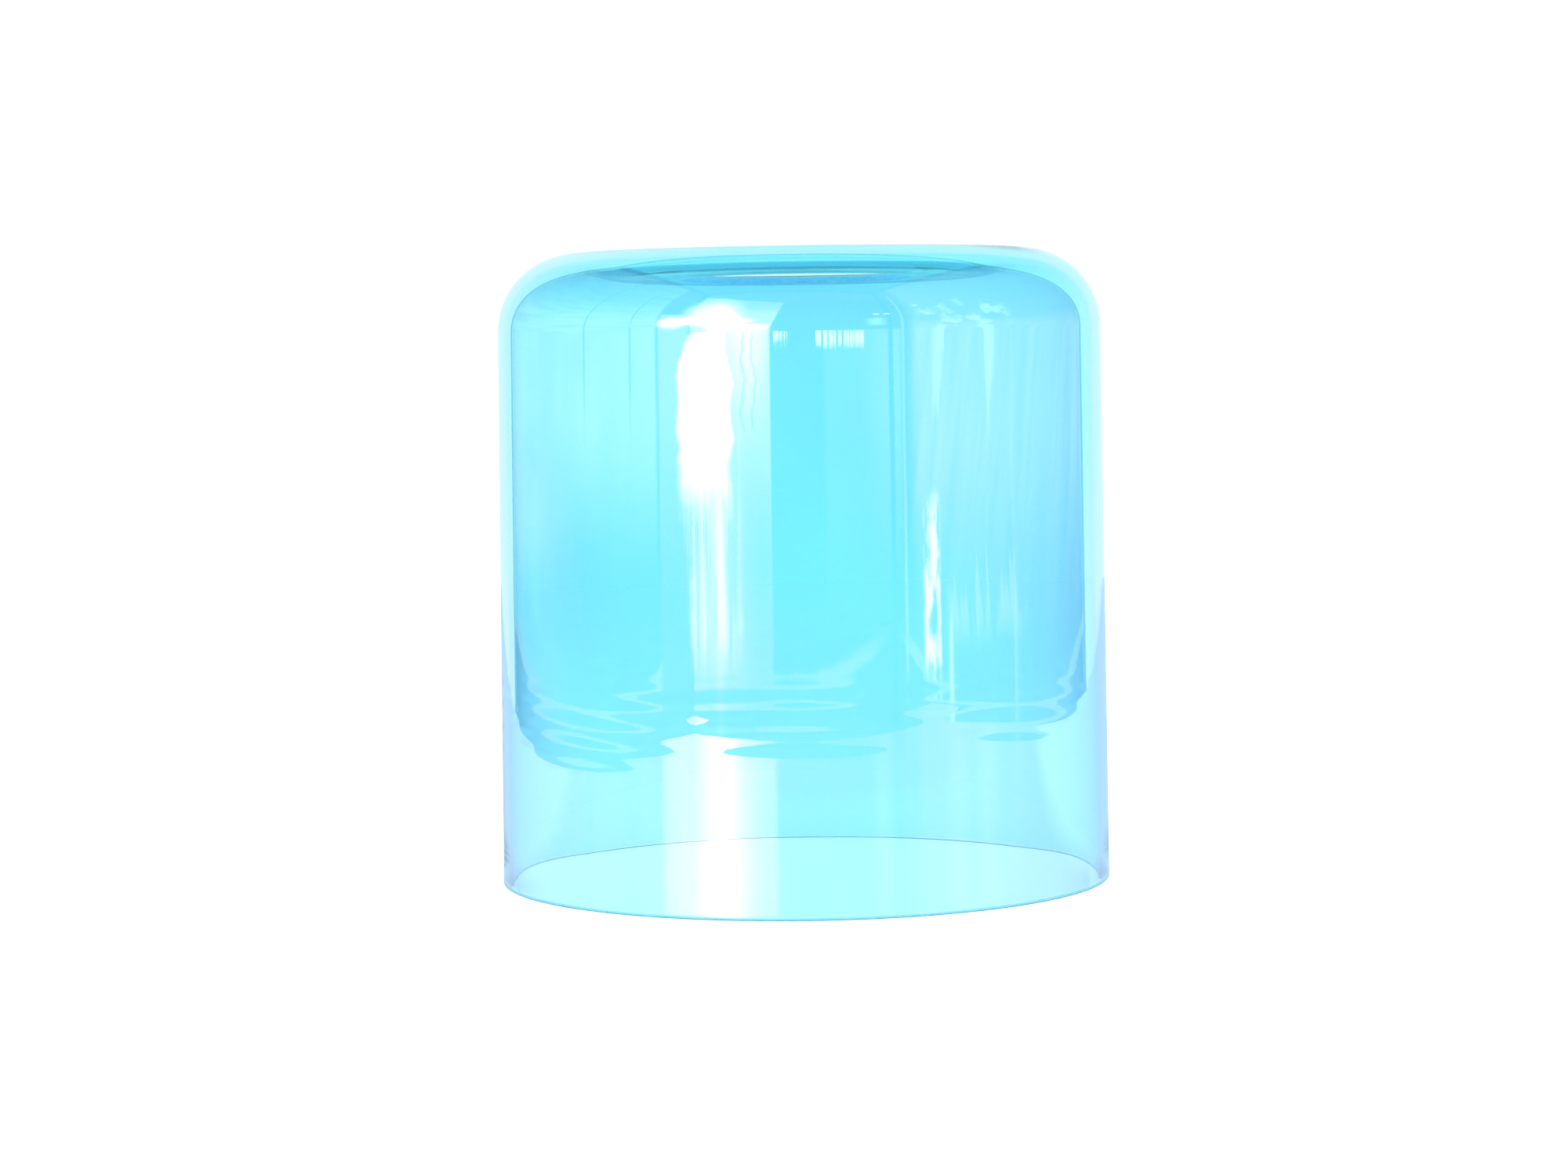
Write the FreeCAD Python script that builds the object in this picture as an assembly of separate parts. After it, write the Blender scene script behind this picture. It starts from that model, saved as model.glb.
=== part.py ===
"""Blown glass lamp shade: one straight-sided bell of even wall, open at its rim.

Units are millimetres and degrees. The frame has +Z along the axis of revolution. Its origin is the
centre of the rim plane, the flat ring on which the shade stands when it is off its lamp.
The wall rises with the mould's slight draft and turns in over a round shoulder to a crest. It then
rolls down into a shallow dish, whose flat floor carries the hole that the lampholder passes through.
"""

import FreeCAD
import Part
import math
import os

# Outer form
HEIGHT = 120.0              # rim plane to crest
CREST_RADIUS = 42.5         # radius of the ring that is the highest part of the glass
SHOULDER_RADIUS = 15.0      # outer radius of the shoulder's bend
DRAFT = 0.4                 # lean of the side wall, wider towards the rim

# Glass
WALL = 1.7                  # thickness, the same everywhere

# Dish in the top
DISH_DEPTH = 2.0            # crest to the top of the dish's floor
FLOOR_RADIUS = 34.0         # outer radius of the flat floor
HOLE_DIAMETER = 43.0        # clears the body of an E27 lampholder

# Cut edges, ground flat and then fire polished
RIM_ROUNDING = 0.5
HOLE_ROUNDING = 0.35

AXIS = FreeCAD.Vector(0, 0, 1)
ORIGIN = FreeCAD.Vector(0, 0, 0)


def polar(centre, radius, angle):
    """The point at that radius and angle, in degrees, round a centre in the (r, z) half plane."""
    turn = math.radians(angle)
    return (centre[0] + radius * math.cos(turn), centre[1] + radius * math.sin(turn))


def vertex(point):
    """A point (r, z) of the half plane, as a vector in the XZ plane."""
    return FreeCAD.Vector(point[0], 0, point[1])


def line(start, end):
    return Part.LineSegment(vertex(start), vertex(end)).toShape()


def arc(centre, radius, start_angle, end_angle):
    """The arc round a centre from one angle to another, in degrees."""
    middle_angle = (start_angle + end_angle) / 2
    points = [polar(centre, radius, a) for a in (start_angle, middle_angle, end_angle)]
    return Part.Arc(*[vertex(p) for p in points]).toShape()


class Skin:
    """One face of the glass in the half plane, lying depth mm inside the outer face."""

    # The roll from the crest to the floor is two equal arcs, tangent to each other and level at both ends.
    roll_width = CREST_RADIUS - FLOOR_RADIUS
    roll_angle = 2 * math.degrees(math.atan2(DISH_DEPTH, roll_width))
    roll_radius = roll_width / (2 * math.sin(math.radians(roll_angle)))

    def __init__(self, depth):
        self.shoulder_centre = (CREST_RADIUS, HEIGHT - SHOULDER_RADIUS)
        self.shoulder_radius = SHOULDER_RADIUS - depth
        self.crest_centre = (CREST_RADIUS, HEIGHT - self.roll_radius)
        self.crest_radius = self.roll_radius - depth
        self.foot_centre = polar(self.crest_centre, 2 * self.roll_radius, 90 + self.roll_angle)
        self.foot_radius = self.roll_radius + depth
        self.wall_top = polar(self.shoulder_centre, self.shoulder_radius, DRAFT)
        self.floor_z = HEIGHT - DISH_DEPTH - depth

    def wall_point(self, z):
        """The point of the straight side wall at height z."""
        radius = self.wall_top[0] + (self.wall_top[1] - z) * math.tan(math.radians(DRAFT))
        return (radius, z)

    def floor_point(self, radius):
        return (radius, self.floor_z)

    def edges(self, wall_end, floor_end):
        """The edges from the wall's lower end up and over to the floor's inner end."""
        return [
            line(wall_end, self.wall_top),
            arc(self.shoulder_centre, self.shoulder_radius, DRAFT, 90),
            arc(self.crest_centre, self.crest_radius, 90, 90 + self.roll_angle),
            arc(self.foot_centre, self.foot_radius, self.roll_angle - 90, -90),
            line(self.floor_point(FLOOR_RADIUS), floor_end),
        ]


def rounded_rim(outer, inner):
    """The rim's edges and where the outer and inner walls stop. Between two quarter rounds it is flat."""
    outer_stop = outer.wall_point(RIM_ROUNDING)
    inner_stop = inner.wall_point(RIM_ROUNDING)
    outer_centre = (outer_stop[0] - RIM_ROUNDING, RIM_ROUNDING)
    inner_centre = (inner_stop[0] + RIM_ROUNDING, RIM_ROUNDING)
    edges = [
        arc(inner_centre, RIM_ROUNDING, 180, 270),
        line((inner_centre[0], 0), (outer_centre[0], 0)),
        arc(outer_centre, RIM_ROUNDING, 270, 360),
    ]
    return edges, outer_stop, inner_stop


def rounded_hole(outer, inner):
    """The hole's edges and where the floor's two faces stop. Between two quarter rounds it is a cylinder."""
    radius = HOLE_DIAMETER / 2
    top_centre = (radius + HOLE_ROUNDING, outer.floor_z - HOLE_ROUNDING)
    bottom_centre = (radius + HOLE_ROUNDING, inner.floor_z + HOLE_ROUNDING)
    edges = [
        arc(top_centre, HOLE_ROUNDING, 90, 180),
        line((radius, top_centre[1]), (radius, bottom_centre[1])),
        arc(bottom_centre, HOLE_ROUNDING, 180, 270),
    ]
    return edges, outer.floor_point(top_centre[0]), inner.floor_point(bottom_centre[0])


def glass_shade():
    """The whole shade: its closed section turned once about the axis."""
    outer = Skin(0)
    inner = Skin(WALL)
    rim, outer_stop, inner_stop = rounded_rim(outer, inner)
    hole, floor_top_end, floor_bottom_end = rounded_hole(outer, inner)
    edges = (rim + outer.edges(outer_stop, floor_top_end)
             + hole + inner.edges(inner_stop, floor_bottom_end))
    section = Part.Face(Part.Wire(Part.__sortEdges__(edges)))
    solid = section.revolve(ORIGIN, AXIS, 360)
    return Part.Solid(solid.Shells[0]) if solid.ShapeType != "Solid" else solid


def main():
    os.makedirs("parts", exist_ok=True)
    shade = glass_shade()
    if shade.Volume < 0:
        shade.reverse()
    shade.exportStep("parts/glass_shade.step")
    box = shade.BoundBox
    print("glass_shade", shade.ShapeType, "valid", shade.isValid(), "closed", shade.isClosed(),
          "volume", round(shade.Volume, 1))
    print("box", [round(v, 3) for v in (box.XMin, box.YMin, box.ZMin, box.XMax, box.YMax, box.ZMax)])
    print("roll radius", round(Skin.roll_radius, 3), "angle", round(Skin.roll_angle, 2))


main()
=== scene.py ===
"""Looks of the glass lamp shade: one blown, cyan, iridescent glass bell on a white table.

Metres, in the CAD part's frame: +Z up the shade's axis, and the open rim stands on z = 0.
"""

import math

import bpy
from mathutils import Matrix, Vector, noise


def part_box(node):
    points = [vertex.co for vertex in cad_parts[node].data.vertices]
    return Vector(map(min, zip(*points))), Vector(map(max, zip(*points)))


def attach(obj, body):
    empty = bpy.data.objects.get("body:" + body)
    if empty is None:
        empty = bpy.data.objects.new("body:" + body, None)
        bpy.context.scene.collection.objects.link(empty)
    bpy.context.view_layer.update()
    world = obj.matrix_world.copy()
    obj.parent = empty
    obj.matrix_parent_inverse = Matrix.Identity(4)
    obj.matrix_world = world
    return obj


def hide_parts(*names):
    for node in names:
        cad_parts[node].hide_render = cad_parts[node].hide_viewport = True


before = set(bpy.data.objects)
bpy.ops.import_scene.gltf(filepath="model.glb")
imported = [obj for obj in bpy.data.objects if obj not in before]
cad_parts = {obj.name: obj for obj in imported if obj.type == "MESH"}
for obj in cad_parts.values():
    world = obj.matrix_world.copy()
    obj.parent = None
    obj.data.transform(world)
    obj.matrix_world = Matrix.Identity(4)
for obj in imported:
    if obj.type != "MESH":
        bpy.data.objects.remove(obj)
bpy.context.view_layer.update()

LOW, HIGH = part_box("glass_shade")

# The glass, as the CAD part has it
HEIGHT = HIGH.z - LOW.z
CREST_RADIUS = 0.0425
SHOULDER_RADIUS = 0.0150
DRAFT = math.radians(0.4)
WALL = 0.0017
DISH_DEPTH = 0.0020
FLOOR_RADIUS = 0.0340
HOLE_RADIUS = 0.0215
RIM_ROUNDING = 0.0005
HOLE_ROUNDING = 0.00035

# How finely the glass is divided: round the axis, and along each part of its section
TURN_STEPS = 216
WALL_ROWS = 160
SHOULDER_ROWS = 30
ROLL_ROWS = 10
FLOOR_ROWS = 10
RIM_ROWS = 5
HOLE_ROWS = 4
MELTED_ROWS = 2             # of each side of the rim, as smooth as the wall beside them

# How far the blown faces lie inside their true form: on average, and by how much that changes
DEPTH_MEAN = 0.00005
DEPTH_SLOW = 0.00004
DEPTH_DRAW = 0.000005
OUTER_SEED, INNER_SEED = 5, 23

# How far from the ground edges the faces are true
TRUE_BY_RIM = 0.010
TRUE_BY_HOLE = 0.005

# Faint rings that the mould has left round the lower wall
RING_PITCH = 0.0041
RING_START = 0.03465
RING_DRIFT = 0.45           # up and down on the way round, in pitches
RING_HEIGHT = 0.0335        # middle of the ringed band
RING_REACH = 0.0110         # from there to the last ring
RING_FADE = 1.6
RING_DEPTH = 0.0000036

# Finish of the glass. The film's thickness and its changes are in nanometres.
GLASS_IOR = 1.5
GLASS_AT_RIM = (0.55, 0.905, 0.995, 1)
GLASS_AT_CREST = (0.42, 0.895, 0.995, 1)
CLEAR = (0.86, 0.97, 1.0, 1)
BUBBLE_HEIGHT = 0.0000015
FILM_IOR = 2.3
FILM_MEAN = 203.0
FILM_SHOULDER, FILM_CREST, FILM_RIM = -18.0, -34.0, -8.0
FILM_PATCHES = 24.0
FILM_ACROSS = -150.0        # per metre, to the right
GROUND_DARK = (0.18, 0.62, 0.88, 1)
GROUND_PALE = (0.28, 0.72, 0.95, 1)
GRIT_HEIGHT = 0.00002

# Light and colours of the studio, and of the room that the glass mirrors. Elevations are in degrees.
WHITE = 1.5                         # the sweep behind the shade, overexposed
BEHIND = (0.86, 1.02, 1.08, 1)      # the same sweep as the glass mirrors it
DEEP = (0.36, 0.56, 0.62, 1)        # the room in front, as the shade's back wall mirrors it
DAY = (1.0, 1.0, 1.03, 1)
SUN = 5.0
PALE = (0.9, 1.0, 1.1, 1)
FRONT_HIGH, FRONT_LOW = (0.11, 0.06, 0.09, 1), (0.02, 0.055, 0.06, 1)
RIGHT_HIGH, RIGHT_LOW = (0.62, 0.46, 0.75, 1), (0.38, 0.40, 0.78, 1)
LEFT_HIGH, LEFT_LOW = (0.62, 0.78, 0.86, 1), (0.25, 0.66, 0.80, 1)
CEILING = (0.38, 1.0, 1.1, 1)
PANE = (1.0, 0.86, 1.03, 1)
DRAPE = (1.2, 0.95, 1.05, 1)
LEAVES = (1.0, 0.95, 1.0, 1)
SPRAY = (1.0, 0.9, 1.0, 1)
BEAM = (0.7, 1.0, 1.0, 1)
SILL = -4.3                         # elevation where the windows end
FLOOR_LINE = -0.079                 # height on the walls where they end

# The table: its edges, its matt top, and how the glass mirrors its near and far halves; the far half is a
# painted glow, an emission that stands in for a lit table
TABLE_LEFT, TABLE_RIGHT, TABLE_NEAR, TABLE_FAR = -0.285, 0.37, -0.362, 0.90
TABLE_TOP = (1.0, 1.0, 1.0, 1)
TABLE_POLISHED = (0.92, 0.60, 0.95, 1)
TABLE_GLOSS = (1.0, 0.80, 1.0, 1)
TABLE_FAR_GLOW = (0.62, 0.80, 1.04, 1)

# The camera: millimetres for the lens, metres for its place and degrees for how it is turned
LENS, SENSOR = 85.67, 36.0
EYE = (0, -0.7147, 0.1012)
TURNED, NODDED, ROLLED = 0.285, -3.655, -0.81
NEAREST, FARTHEST = 0.01, 20.0

# How many surfaces a ray may pass or be mirrored by
GLASS_BOUNCES = 24
ALL_BOUNCES = 32
CLEAR_BOUNCES = 16


def polar(centre, radius, degrees):
    """The point at that radius and angle round a centre in the (r, z) half plane."""
    turn = math.radians(degrees)
    return (centre[0] + radius * math.cos(turn), centre[1] + radius * math.sin(turn))


def arc(centre, radius, start, end, steps, outward=1):
    """Points (r, z) and normals of an arc. outward is -1 where the glass is outside the arc."""
    points = []
    for i in range(steps + 1):
        degrees = start + (end - start) * i / steps
        normal = polar((0, 0), outward, degrees)
        points.append((polar(centre, radius, degrees), normal))
    return points


def line(start, end, normal, steps):
    """Points (r, z) strictly between the two ends of a straight run, with its normal."""
    points = []
    for i in range(1, steps):
        t = i / steps
        points.append(((start[0] + (end[0] - start[0]) * t, start[1] + (end[1] - start[1]) * t), normal))
    return points


class Skin:
    """One face of the glass in the half plane, lying depth inside the outer face."""

    roll_width = CREST_RADIUS - FLOOR_RADIUS
    roll_angle = 2 * math.degrees(math.atan2(DISH_DEPTH, roll_width))
    roll_radius = roll_width / (2 * math.sin(math.radians(roll_angle)))

    def __init__(self, depth):
        lean = math.degrees(DRAFT)
        self.side = 1 if depth == 0 else -1
        shoulder = (CREST_RADIUS, HEIGHT - SHOULDER_RADIUS)
        crest = (CREST_RADIUS, HEIGHT - self.roll_radius)
        foot = polar(crest, 2 * self.roll_radius, 90 + self.roll_angle)
        self.wall_top = polar(shoulder, SHOULDER_RADIUS - depth, lean)
        self.wall_normal = polar((0, 0), self.side, lean)
        self.floor_z = HEIGHT - DISH_DEPTH - depth
        self.bends = (
            arc(shoulder, SHOULDER_RADIUS - depth, lean, 90, SHOULDER_ROWS, self.side)
            + arc(crest, self.roll_radius - depth, 90, 90 + self.roll_angle, ROLL_ROWS, self.side)[1:]
            + arc(foot, self.roll_radius + depth, self.roll_angle - 90, -90, ROLL_ROWS, -self.side)[1:]
        )

    def wall_point(self, z):
        """The point of the straight side wall at height z."""
        return (self.wall_top[0] + (self.wall_top[1] - z) * math.tan(DRAFT), z)

    def run(self, wall_end, floor_end):
        """The face from the wall's lower end over to the floor's inner end, without those two ends."""
        floor_start = (FLOOR_RADIUS, self.floor_z)
        return (
            line(wall_end, self.wall_top, self.wall_normal, WALL_ROWS)
            + self.bends
            + line(floor_start, floor_end, (0, self.side), FLOOR_ROWS)
        )


def section():
    """The closed section of the glass: points with normals, and each row's finish up to the next row."""
    outer = Skin(0)
    inner = Skin(WALL)
    outer_stop = outer.wall_point(RIM_ROUNDING)
    inner_stop = inner.wall_point(RIM_ROUNDING)
    rim = (
        arc((inner_stop[0] + RIM_ROUNDING, RIM_ROUNDING), RIM_ROUNDING, 180, 270, RIM_ROWS)
        + arc((outer_stop[0] - RIM_ROUNDING, RIM_ROUNDING), RIM_ROUNDING, 270, 360, RIM_ROWS)
    )
    hole_middle = HOLE_RADIUS + HOLE_ROUNDING
    top = arc((hole_middle, outer.floor_z - HOLE_ROUNDING), HOLE_ROUNDING, 90, 180, HOLE_ROWS)
    bottom = arc((hole_middle, inner.floor_z + HOLE_ROUNDING), HOLE_ROUNDING, 180, 270, HOLE_ROWS)
    outside = outer.run(outer_stop, top[0][0])
    inside = inner.run(inner_stop, bottom[-1][0])
    finishes = (
        ["inner"] * MELTED_ROWS
        + ["ground"] * (len(rim) - 2 * MELTED_ROWS)
        + ["outer"] * (MELTED_ROWS + len(outside))
        + ["ground"] * (len(top) + len(bottom) - 1)
        + ["inner"] * (1 + len(inside))
    )
    return rim + outside + top + bottom + inside[::-1], finishes


def eased(value):
    """0 below 0 and 1 above 1, with a smooth way between."""
    value = min(max(value, 0.0), 1.0)
    return value * value * (3 - 2 * value)


def wander(around, z, seed, channel, across, up):
    """A smooth change over the face, from about -1 to 1, with one pace round the axis and one up it."""
    return noise.noise(around * across + Vector((seed, channel, z * up)))


def rings(around, z, seed):
    """Depth of the mould's rings there. They drift, swell and fade on their way round."""
    drift = RING_DRIFT * wander(around, z, seed, channel=11, across=1.6, up=25)
    swell = 1 + wander(around, z, seed, channel=17, across=2.4, up=40)
    ring = swell * math.sin(2 * math.pi * ((z - RING_START) / RING_PITCH + drift))
    near_rim = eased(RING_FADE - RING_FADE * abs(z - RING_HEIGHT) / RING_REACH)
    return RING_DEPTH * near_rim * ring


def unevenness(angle, r, z, seed):
    """How far the blown face lies inside its true form there. It is true at the ground edges."""
    around = Vector((math.cos(angle), math.sin(angle), 0))
    slow = wander(around, z, seed, channel=0, across=1.6, up=14)
    draw = wander(around, z, seed, channel=3, across=4.0, up=30)
    depth = DEPTH_MEAN + DEPTH_SLOW * slow + DEPTH_DRAW * draw + rings(around, z, seed)
    from_rim = eased((z - RIM_ROUNDING) / TRUE_BY_RIM)
    from_hole = eased((r - HOLE_RADIUS - HOLE_ROUNDING) / TRUE_BY_HOLE)
    return depth * from_rim * from_hole


def turned_row(point, normal, seed):
    """A row of points round the axis, each a little inside the true form."""
    (r, z), (nr, nz) = point, normal
    places = []
    for step in range(TURN_STEPS):
        angle = 2 * math.pi * step / TURN_STEPS
        depth = unevenness(angle, r, z, seed)
        radius = r - nr * depth
        places.append((radius * math.cos(angle), radius * math.sin(angle), z - nz * depth))
    return places


def turned_faces(rows):
    """The faces between each row and the next, and between the last row and the first."""
    faces = []
    for row in range(rows):
        here = row * TURN_STEPS
        after = (row + 1) % rows * TURN_STEPS
        for step in range(TURN_STEPS):
            beside = (step + 1) % TURN_STEPS
            faces.append((here + step, here + beside, after + beside, after + step))
    return faces


def placed(name, mesh):
    """A new object of that name with that mesh, in the scene."""
    piece = bpy.data.objects.new(name, mesh)
    bpy.context.scene.collection.objects.link(piece)
    return piece


def blown_glass():
    """The whole shade as one closed mesh: its section turned about the axis, each row in its finish."""
    points, finishes = section()
    vertices = []
    for (point, normal), finish in zip(points, finishes):
        vertices += turned_row(point, normal, OUTER_SEED if finish == "outer" else INNER_SEED)
    mesh = bpy.data.meshes.new("blown_glass_shade")
    mesh.from_pydata(vertices, [], turned_faces(len(points)))
    materials = {
        "outer": lustre_glass("lustre_glass", film=True),
        "inner": lustre_glass("inner_glass", film=False),
        "ground": ground_glass(),
    }
    for material in materials.values():
        mesh.materials.append(material)
    slots = list(materials)
    for face in mesh.polygons:
        face.use_smooth = True
        face.material_index = slots.index(finishes[face.index // TURN_STEPS])
    mesh.validate()
    return placed("blown_glass_shade", mesh)


class Nodes:
    """A small helper for writing a node tree as code."""

    def __init__(self, tree):
        self.tree = tree
        tree.nodes.clear()

    def add(self, kind, settings=None, **inputs):
        """A node of that kind.

        An input is a value or another node's output. Its name is i0, i1 and so on for its place among
        the inputs, or its own name with _ for a space.
        """
        node = self.tree.nodes.new(kind)
        for key, value in (settings or {}).items():
            setattr(node, key, value)
        for key, value in inputs.items():
            numbered = key[0] == "i" and key[1:].isdigit()
            socket = node.inputs[int(key[1:]) if numbered else key.replace("_", " ")]
            if isinstance(value, bpy.types.NodeSocket):
                self.tree.links.new(value, socket)
            else:
                socket.default_value = value
        return node

    def maths(self, operation, *values):
        inputs = {f"i{i}": value for i, value in enumerate(values)}
        return self.add("ShaderNodeMath", {"operation": operation}, **inputs).outputs[0]

    def step(self, value, start, end, low=0.0, high=1.0):
        """Goes smoothly from low at start to high at end."""
        if end < start:
            start, end, low, high = end, start, high, low
        return self.add("ShaderNodeMapRange", {"interpolation_type": "SMOOTHSTEP"},
                        Value=value, i1=start, i2=end, i3=low, i4=high).outputs["Result"]

    def noisy(self, place, scale, detail, roughness):
        """Smooth noise round 0.5, finer with a larger scale."""
        return self.add("ShaderNodeTexNoise", Vector=place, Scale=scale, Detail=detail,
                        Roughness=roughness).outputs["Fac"]

    def ramp(self, value, start, first, end, last):
        """Goes from the first colour at start to the last colour at end."""
        node = self.add("ShaderNodeValToRGB", Fac=value)
        low, high = node.color_ramp.elements
        low.position = start
        low.color = first
        high.position = end
        high.color = last
        return node.outputs["Color"]

    def bumps(self, height, distance):
        """A normal that bumps tilt, as high as that distance."""
        node = self.add("ShaderNodeBump", Height=height, Strength=1.0, Distance=distance)
        return node.outputs["Normal"]

    def place(self):
        """The place on the object."""
        return self.add("ShaderNodeTexCoord").outputs["Object"]

    def light_path(self):
        return self.add("ShaderNodeLightPath").outputs

    def mirrored(self):
        """1 for a ray that something glossy has mirrored, and 0 otherwise."""
        return self.maths("MINIMUM", self.light_path()["Glossy Depth"], 1.0)

    def blend(self, factor, first, second):
        """The first shader where the factor is 0 and the second where it is 1."""
        return self.add("ShaderNodeMixShader", i0=factor, i1=first, i2=second).outputs[0]

    def surface(self, shader):
        self.add("ShaderNodeOutputMaterial", Surface=shader)


def new_material(name):
    """A material and the helper for its nodes."""
    material = bpy.data.materials.new(name)
    material.use_nodes = True
    return material, Nodes(material.node_tree)


def film_thickness(nodes, side, height, cloud):
    """The lustre's thickness. It is less towards the crest, the rim and the right, and in patches."""
    top = nodes.maths("ADD", nodes.step(height, 0.050, 0.105, 0.0, FILM_SHOULDER),
                      nodes.step(height, 0.105, 0.118, 0.0, FILM_CREST))
    low = nodes.step(height, 0.0, 0.030, FILM_RIM, 0.0)
    patch = nodes.maths("MULTIPLY_ADD", cloud, FILM_PATCHES, nodes.maths("MULTIPLY", side, FILM_ACROSS))
    change = nodes.maths("ADD", nodes.maths("ADD", top, low), patch)
    return nodes.maths("ADD", change, FILM_MEAN)


def lustre_glass(name, film):
    """Cyan glass. The lustre on its outer face is a film, so its colour turns with the angle."""
    material, nodes = new_material(name)
    place = nodes.place()
    side, _, height = nodes.add("ShaderNodeSeparateXYZ", i0=place).outputs
    cloud = nodes.noisy(place, 22.0, 2.0, 0.5)
    spread = nodes.maths("MULTIPLY_ADD", cloud, 0.5, nodes.step(height, 0.0, HEIGHT))
    colour = nodes.ramp(spread, 0.2, GLASS_AT_RIM, 1.0, GLASS_AT_CREST)
    haze = nodes.step(nodes.noisy(place, 55.0, 4.0, 0.6), 0.42, 0.78, 0.006, 0.035)
    bubbles = nodes.bumps(nodes.noisy(place, 330.0, 1.0, 0.4), BUBBLE_HEIGHT)
    lustre = {}
    if film:
        thickness = film_thickness(nodes, side, height, cloud)
        lustre = {"Thin_Film_Thickness": thickness, "Thin_Film_IOR": FILM_IOR}
    glass = nodes.add("ShaderNodeBsdfPrincipled", Base_Color=colour, Roughness=haze, IOR=GLASS_IOR,
                      Transmission_Weight=1.0, Normal=bubbles, **lustre).outputs[0]

    # Shadows and the light that the table scatters pass straight through, tinted once
    clear = nodes.add("ShaderNodeBsdfTransparent", Color=CLEAR).outputs[0]
    light = nodes.light_path()
    inside = nodes.blend(light["Is Diffuse Ray"], glass, clear)
    nodes.surface(nodes.blend(light["Is Shadow Ray"], inside, clear))
    return material


def ground_glass():
    """The rim and the hole's wall, ground and then melted a little: frosted, and a deeper blue."""
    material, nodes = new_material("ground_edge")
    grit = nodes.noisy(nodes.place(), 900.0, 3.0, 0.6)
    colour = nodes.ramp(grit, 0.35, GROUND_DARK, 0.65, GROUND_PALE)
    frost = nodes.step(grit, 0.3, 0.7, 0.5, 0.7)
    frosted = nodes.add("ShaderNodeBsdfPrincipled", Base_Color=colour, Roughness=frost, IOR=GLASS_IOR,
                        Transmission_Weight=0.15, Specular_IOR_Level=0.2,
                        Normal=nodes.bumps(grit, GRIT_HEIGHT)).outputs[0]
    nodes.surface(frosted)
    return material


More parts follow.
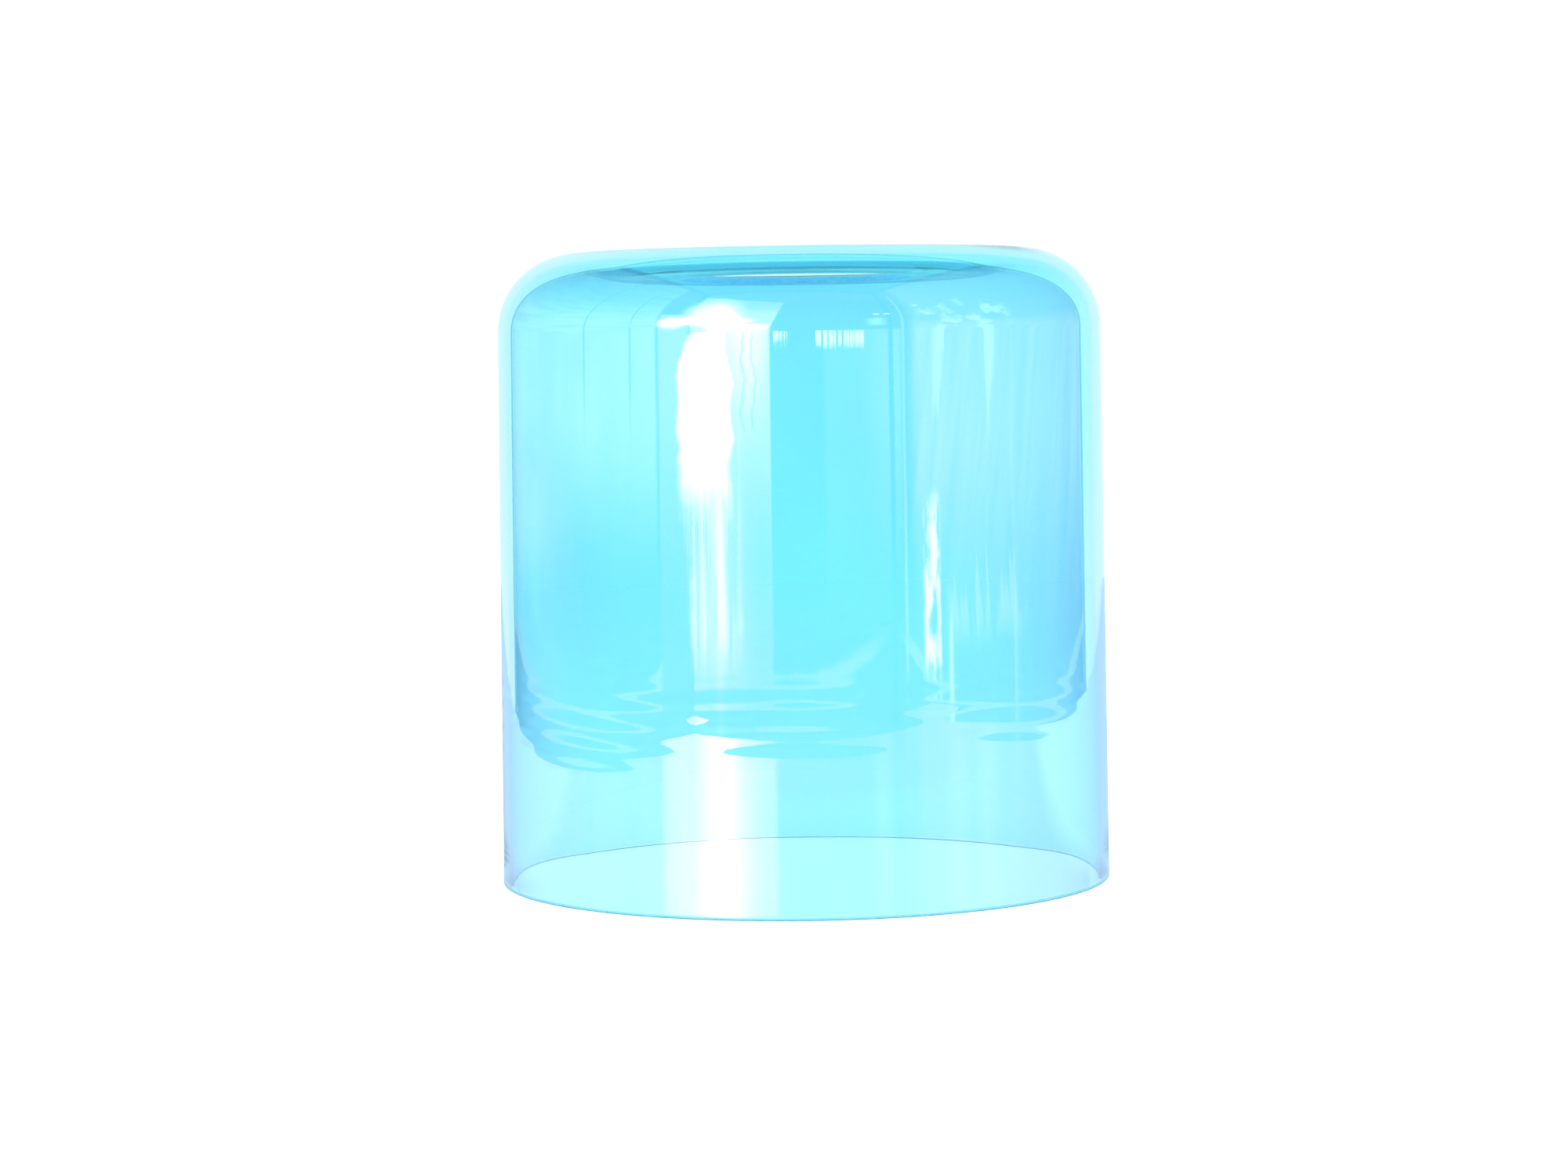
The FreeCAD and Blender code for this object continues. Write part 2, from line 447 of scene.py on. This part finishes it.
class Room(Nodes):
    """The room that the glass mirrors, as world nodes: a box round the shade, turned a little.

    A direction has an azimuth, rightwards from the front, and an elevation, both in degrees. Its height
    is how high above the table's level it meets a wall.
    """

    turn = math.radians(4.2)
    left, right, front, back, top = 0.80, 0.79, 1.0, 0.85, 1.28     # distances from the shade
    seam = 0.01                 # half the width over which one side gives way to the next

    def __init__(self, tree):
        super().__init__(tree)
        direction = self.add("ShaderNodeTexCoord").outputs["Generated"]
        x, y, z = self.add("ShaderNodeSeparateXYZ", i0=direction).outputs
        forward = self.maths("MULTIPLY", y, -1.0)
        self.azimuth = self.maths("DEGREES", self.maths("ARCTAN2", x, forward))
        self.elevation = self.maths("DEGREES", self.maths("ARCSINE", z))

        across = self.mixture(x, math.cos(self.turn), forward, math.sin(self.turn))
        ahead = self.mixture(forward, math.cos(self.turn), x, -math.sin(self.turn))
        sideways = self.farther(across, self.right, self.left)
        lengthways = self.farther(ahead, self.front, self.back)
        outwards = self.longer(sideways, lengthways)
        upwards = self.maths("DIVIDE", z, self.top)
        beyond = self.maths("SUBTRACT", lengthways, sideways)
        above = self.maths("SUBTRACT", upwards, outwards)
        self.height = self.maths("DIVIDE", z, outwards)
        self.at_back = self.both(self.step(beyond, -self.seam, self.seam),
                                 self.step(ahead, self.seam, -self.seam))
        self.on_ceiling = self.step(above, -self.seam, self.seam)

        corner = self.step(self.maths("ABSOLUTE", beyond), 0.04, 0.01)
        cornice = self.step(self.maths("ABSOLUTE", above), 0.05, 0.01)
        self.joint = self.longer(self.both(corner, self.reversed(self.on_ceiling)), cornice)

    def mixture(self, first, share, second, other_share):
        """A share of the first number and a share of the second, added."""
        return self.maths("MULTIPLY_ADD", first, share, self.maths("MULTIPLY", second, other_share))

    def farther(self, part, ahead, behind):
        """How far a direction's part reaches towards the wall that it points at."""
        return self.longer(self.maths("DIVIDE", part, ahead), self.maths("DIVIDE", part, -behind))

    def longer(self, first, second):
        return self.maths("MAXIMUM", first, second)

    def reversed(self, mask):
        return self.maths("SUBTRACT", 1.0, mask)

    def both(self, *masks):
        """1 where every mask is 1."""
        product = masks[0]
        for mask in masks[1:]:
            product = self.maths("MULTIPLY", product, mask)
        return product

    def between(self, value, low, high, soft):
        """1 from low to high, with soft edges."""
        return self.both(self.step(value, low - soft, low + soft),
                         self.step(value, high + soft, high - soft))

    def panel(self, low, high, bottom, top, soft):
        """1 inside a rectangle of azimuths and elevations."""
        return self.both(self.between(self.azimuth, low, high, soft),
                         self.between(self.elevation, bottom, top, min(soft, 0.3)))

    def rail(self, start, end, height):
        """A thin line up the wall at the azimuth end, and level at that height from there to start."""
        post = self.both(self.between(self.azimuth, end - 0.5, end + 0.5, 0.4),
                         self.step(self.height, height, height - 0.02),
                         self.step(self.elevation, -1.5, 0.5))
        level = self.both(self.between(self.azimuth, end, start, 0.5),
                          self.between(self.height, height - 0.012, height + 0.012, 0.01))
        return self.maths("MULTIPLY", self.longer(post, level), 0.6)

    def near(self, azimuth, elevation, wide, tall, edge=0.3):
        """1 about a direction, falling to 0 on an ellipse that is wide by tall to each side of it."""
        across = self.maths("MULTIPLY_ADD", self.azimuth, 1 / wide, -azimuth / wide)
        up = self.maths("MULTIPLY_ADD", self.elevation, 1 / tall, -elevation / tall)
        at = self.add("ShaderNodeCombineXYZ", X=across, Y=up).outputs[0]
        distance = self.add("ShaderNodeVectorMath", {"operation": "LENGTH"}, i0=at).outputs["Value"]
        return self.step(distance, 1.0, edge)

    def mixed(self, factor, below, above):
        """The colour below where the factor is 0 and the one above where it is 1."""
        return self.add("ShaderNodeMix", {"data_type": "RGBA"}, i0=factor, i6=below, i7=above).outputs[2]

    def scaled(self, colour, by):
        """A colour times a number from a node."""
        if isinstance(colour, tuple):
            colour = colour[:3]
        return self.add("ShaderNodeVectorMath", {"operation": "SCALE"}, i0=colour, Scale=by).outputs[0]

    def lit(self, seen, mask, colour, strength):
        """What is seen, with light of that colour over it where the mask is."""
        return self.mixed(mask, seen, self.scaled(colour, strength))

    def streaks(self, across, up, slant, seed, detail=2.0):
        """Long upright streaks, as of curtains, from 0 to 1."""
        leaning = self.maths("MULTIPLY_ADD", self.elevation, slant, self.azimuth)
        at = self.add("ShaderNodeCombineXYZ", X=self.maths("MULTIPLY", leaning, across),
                      Y=self.maths("MULTIPLY", self.elevation, up), Z=seed).outputs[0]
        return self.noisy(at, 1.0, detail, 0.5)


def front_wall(room):
    """Dark, and bluer low down, with a paler board to the right of the middle."""
    azimuth, elevation = room.azimuth, room.elevation
    seen = room.mixed(room.step(elevation, -0.5, -3.0), FRONT_HIGH, FRONT_LOW)
    board = room.both(room.between(azimuth, 9, 38, 1.2), room.step(elevation, -3.9, 0.9),
                      room.step(elevation, 2, 1))
    return room.lit(seen, board, PALE, room.step(azimuth, 20, 34, 0.24, 0.42))


def right_wall(room, seen):
    """Lilac curtains, which fade into a plain wall above and darken towards the table."""
    elevation = room.elevation
    colour = room.mixed(room.step(elevation, -0.5, -3.2), RIGHT_HIGH, RIGHT_LOW)
    cloth = room.step(room.streaks(0.16, 0.1, -3.0, 3.0), 0.3, 0.7, 0.75, 1.15)
    to_plain = room.both(room.step(elevation, 1.0, 2.5), room.maths("SUBTRACT", 0.95, cloth))
    hung = room.maths("ADD", cloth, to_plain)
    falling = room.both(room.step(elevation, -4.6, -0.5, 0.16, 1.0),
                        room.step(elevation, 12, 0.8, 0.6, 1.0))
    return room.lit(seen, room.step(room.azimuth, 39, 46), colour, room.both(hung, falling))


def left_wall(room, seen):
    """Pale plaster, in shade low down except towards the back."""
    elevation = room.elevation
    colour = room.mixed(room.step(elevation, -2.0, -3.6), LEFT_HIGH, LEFT_LOW)
    plaster = room.step(room.streaks(0.05, 0.3, 0.0, 8.0), 0.3, 0.7, 0.85, 1.1)
    lowest = room.step(room.azimuth, -84, -132, 0.10, 0.80)
    shaded = room.both(room.step(elevation, -3.2, 0.0, lowest, 1.0),
                       room.step(elevation, 40, 6, 0.4, 1.0))
    return room.lit(seen, room.step(room.azimuth, -54, -56), colour, room.both(plaster, shaded))


def walls(room):
    """The walls, the floor and the ceiling, with their joints drawn as thin dark lines."""
    seen = left_wall(room, right_wall(room, front_wall(room)))
    skirting = room.both(room.between(room.height, FLOOR_LINE - 0.0006, FLOOR_LINE + 0.0054, 0.0008),
                         room.step(room.elevation, -3.5, -4.0))
    seen = room.lit(seen, skirting, PALE, 0.36)
    seen = room.lit(seen, room.step(room.height, FLOOR_LINE, FLOOR_LINE - 0.0012), PALE, 0.05)
    seen = room.mixed(room.at_back, seen, BEHIND)
    away = room.step(room.maths("ABSOLUTE", room.azimuth), 30, 120, 0.10, 0.62)
    seen = room.lit(seen, room.on_ceiling, CEILING, away)
    rails = room.longer(room.rail(-41, -66, 0.78), room.rail(-41, -88, 1.02))
    return room.scaled(seen, room.step(room.longer(room.joint, rails), 0.0, 1.0, 1.0, 0.15))


def tall_window(room, seen, leaning):
    """A window seen from below, so that its head slopes down to the right, and its reveal on the left."""
    height = room.elevation
    slope = room.maths("MULTIPLY_ADD", room.azimuth, 0.2, height)
    pane = room.both(room.between(leaning, -60.0, -11.0, 0.4), room.step(room.azimuth, -41.4, -40.6),
                     room.step(height, SILL - 0.3, SILL + 0.2), room.step(slope, 34.5, 33.5))
    lowest = room.step(room.azimuth, -30, -14, 0.60, 0.28)
    light = room.both(room.step(height, -2.6, 0.2, lowest, 0.9), room.step(height, 30, 18, 0.55, 1.0))
    seen = room.lit(seen, pane, PANE, light)
    reveal = room.panel(-54.0, -41.6, -4.35, 19, 0.8)
    return room.lit(seen, reveal, DAY, room.step(height, -3.6, 0.4, 0.10, 0.60))


def glare(room, seen, leaning):
    """The sky in the window's head, the sun in it, and the bright column below, between the curtains."""
    height = room.elevation
    low_sky = room.longer(room.near(-49, 9, 8, 8, 0.5), room.near(-20, 3.6, 15, 4.5, 0.5))
    sky = room.both(room.between(leaning, -56.0, -11.6, 0.6),
                    room.longer(low_sky, room.near(-33, 20, 15, 24)))
    rays = room.longer(room.near(-31, 14, 7, 20), room.near(-33, 11, 20, 7))
    sun = room.longer(rays, room.near(-31, 13, 10, 13, 0.5))

    # The column waves like the curtains beside it, and its foot is an arch
    waver = room.streaks(0.05, 2.2, 0.0, 21.0, 3.0)
    shifted = room.maths("MULTIPLY_ADD", waver, 6.0, room.maths("ADD", room.azimuth, -3.0))
    from_middle = room.maths("ABSOLUTE", room.maths("ADD", shifted, 35.8))
    arch = room.maths("ADD", height, room.maths("MULTIPLY", room.maths("POWER", from_middle, 2.0), 0.006))
    column = room.both(room.step(from_middle, 11.6, 7.5), room.step(arch, 1.15, 0.85),
                       room.step(height, -2.0, -0.2))
    drape = room.both(room.between(shifted, -42, -24, 4.0), room.step(height, SILL, SILL + 0.9),
                      room.step(height, 0.6, -0.6),
                      room.step(room.streaks(0.5, 0.25, 0.0, 9.0), 0.35, 0.65))
    seen = room.lit(seen, sky, DAY, 2.2)
    seen = room.lit(seen, drape, DRAPE, 1.25)
    seen = room.lit(seen, room.longer(sun, column), DAY, SUN)
    threads = room.longer(room.between(shifted, -21.6, -20.6, 0.4),
                          room.between(shifted, -17.6, -16.8, 0.4))
    dark = room.both(threads, room.between(height, -0.5, 1.0, 0.1))
    return room.scaled(seen, room.step(dark, 0.0, 1.0, 1.0, 0.6))


def side_lights(room, seen):
    """Two beams, a narrow window ragged with leaves, sprays of light, a torn gleam and a bright post."""
    azimuth, height = room.azimuth, room.elevation
    beams = room.longer(room.between(azimuth, 26, 32, 2.5), room.between(azimuth, -70, -66, 2.5))
    seen = room.lit(seen, room.both(beams, room.between(height, 3.5, 12, 1.5)), BEAM, 0.7)

    leaves = room.step(room.streaks(0.35, 1.2, 0.0, 31.0, 4.0), 0.38, 0.62)
    narrow = room.both(room.panel(46.0, 52.5, SILL, -1.6, 0.7), leaves)
    seen = room.lit(seen, narrow, LEAVES, 1.9)

    fronds = room.maths("MULTIPLY_ADD", height, 0.14, room.streaks(0.22, 0.12, 0.6, 37.0, 3.0))
    spray = room.both(room.between(azimuth, 56.0, 92.0, 3.0), room.step(height, SILL + 0.2, SILL + 1.0),
                      room.step(fronds, 0.06, -0.02))
    seen = room.lit(seen, room.maths("MULTIPLY", spray, 0.30), SPRAY, 1.1)

    cloud = room.step(room.streaks(0.13, 0.2, 0.0, 51.0, 3.0), 0.3, 0.7, -9.0, 9.0)
    torn = room.maths("ADD", height, cloud)
    gleam = room.both(room.between(azimuth, 46, 86, 4.0), room.between(torn, 3.0, 26, 3.0),
                      room.step(room.streaks(0.10, 0.07, 0.0, 44.0, 4.0), 0.45, 0.62))
    seen = room.lit(seen, room.maths("MULTIPLY", gleam, 0.75), DAY, 1.1)
    return room.lit(seen, room.panel(38.4, 39.4, SILL, 40, 0.5), DAY, 0.42)


def far_lights(room, seen):
    """Small windows far away, divided by bars, and two lamps under the ceiling."""
    bars = room.step(room.streaks(0.9, 0.0, 0.0, 63.0, 3.0), 0.42, 0.50)
    distant = room.longer(room.panel(6.0, 24.0, 0.86, 1.08, 0.1), room.panel(-9.6, -4.4, 0.88, 1.04, 0.1))
    lamps = room.longer(room.near(29.5, 17, 1.8, 0.9), room.near(33.5, 17, 1.8, 0.9))
    mask = room.longer(lamps, room.maths("MULTIPLY", room.both(distant, bars), 0.7))
    return room.lit(seen, mask, DAY, 2.4)


def studio():
    """A white sweep lights the shade and stands behind it. Only mirrored rays see the room in front."""
    world = bpy.data.worlds.new("studio")
    world.use_nodes = True
    bpy.context.scene.world = world
    room = Room(world.node_tree)
    leaning = room.maths("MULTIPLY_ADD", room.maths("MAXIMUM", room.elevation, 0.0), -0.14, room.azimuth)
    seen = tall_window(room, walls(room), leaning)
    seen = far_lights(room, side_lights(room, glare(room, seen, leaning)))

    # The back wall's weak mirror image would only blur the front wall's, so it gets one tone
    ahead = room.reversed(room.longer(room.at_back, room.on_ceiling))
    twice = room.step(room.light_path()["Transmission Depth"], 2.4, 2.6)
    seen = room.mixed(room.both(twice, ahead), seen, DEEP)
    colour = room.mixed(room.mirrored(), (WHITE, WHITE, WHITE, 1), seen)
    light = room.add("ShaderNodeBackground", Color=colour, Strength=1.0)
    room.add("ShaderNodeOutputWorld", Surface=light.outputs[0])
    world.cycles.sampling_method = "NONE"


def table_top():
    """A small white table. Its near and side edges are close, so the glass mirrors it as a band. Mirrored
    rays see its far half as a painted glow, not a lit surface.
    """
    material, nodes = new_material("white_table")
    matt = nodes.add("ShaderNodeBsdfDiffuse", Color=TABLE_TOP).outputs[0]
    polished = nodes.add("ShaderNodeBsdfPrincipled", Base_Color=TABLE_POLISHED, Roughness=0.2, IOR=1.4,
                         Specular_Tint=TABLE_GLOSS).outputs[0]
    # Painted light: the table's far half glows in this colour instead of being lit
    white = nodes.add("ShaderNodeEmission", Color=TABLE_FAR_GLOW, Strength=1.0).outputs[0]
    _, depth, _ = nodes.add("ShaderNodeSeparateXYZ", i0=nodes.place()).outputs
    table = nodes.blend(nodes.step(depth, -0.02, 0.02), polished, white)
    nodes.surface(nodes.blend(nodes.mirrored(), matt, table))

    mesh = bpy.data.meshes.new("table_top")
    corners = [(TABLE_LEFT, TABLE_NEAR, 0), (TABLE_RIGHT, TABLE_NEAR, 0),
               (TABLE_RIGHT, TABLE_FAR, 0), (TABLE_LEFT, TABLE_FAR, 0)]
    mesh.from_pydata(corners, [], [(0, 1, 2, 3)])
    mesh.materials.append(material)
    floor = placed("table_top", mesh)


def camera():
    """Looks at the shade from just below its top, turned and rolled a little, as one held by hand is."""
    lens = bpy.data.cameras.new("camera")
    lens.lens = LENS
    lens.sensor_width = SENSOR
    lens.clip_start = NEAREST
    lens.clip_end = FARTHEST
    eye = placed("camera", lens)
    turn = Matrix.Rotation(math.radians(TURNED), 4, "Z")
    nod = Matrix.Rotation(math.radians(90 + NODDED), 4, "X")
    roll = Matrix.Rotation(math.radians(ROLLED), 4, "Z")
    eye.matrix_world = Matrix.Translation(EYE) @ turn @ nod @ roll
    bpy.context.scene.camera = eye


def film_settings():
    """Plain colours, and enough bounces for rays that cross both walls of the glass."""
    scene = bpy.context.scene
    scene.view_settings.view_transform = "Standard"
    scene.view_settings.look = "None"
    scene.cycles.use_denoising = True
    scene.cycles.transmission_bounces = GLASS_BOUNCES
    scene.cycles.glossy_bounces = GLASS_BOUNCES
    scene.cycles.max_bounces = ALL_BOUNCES
    scene.cycles.transparent_max_bounces = CLEAR_BOUNCES


camera()
film_settings()
studio()
table_top()
shade = blown_glass()
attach(shade, "root")
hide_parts("glass_shade")
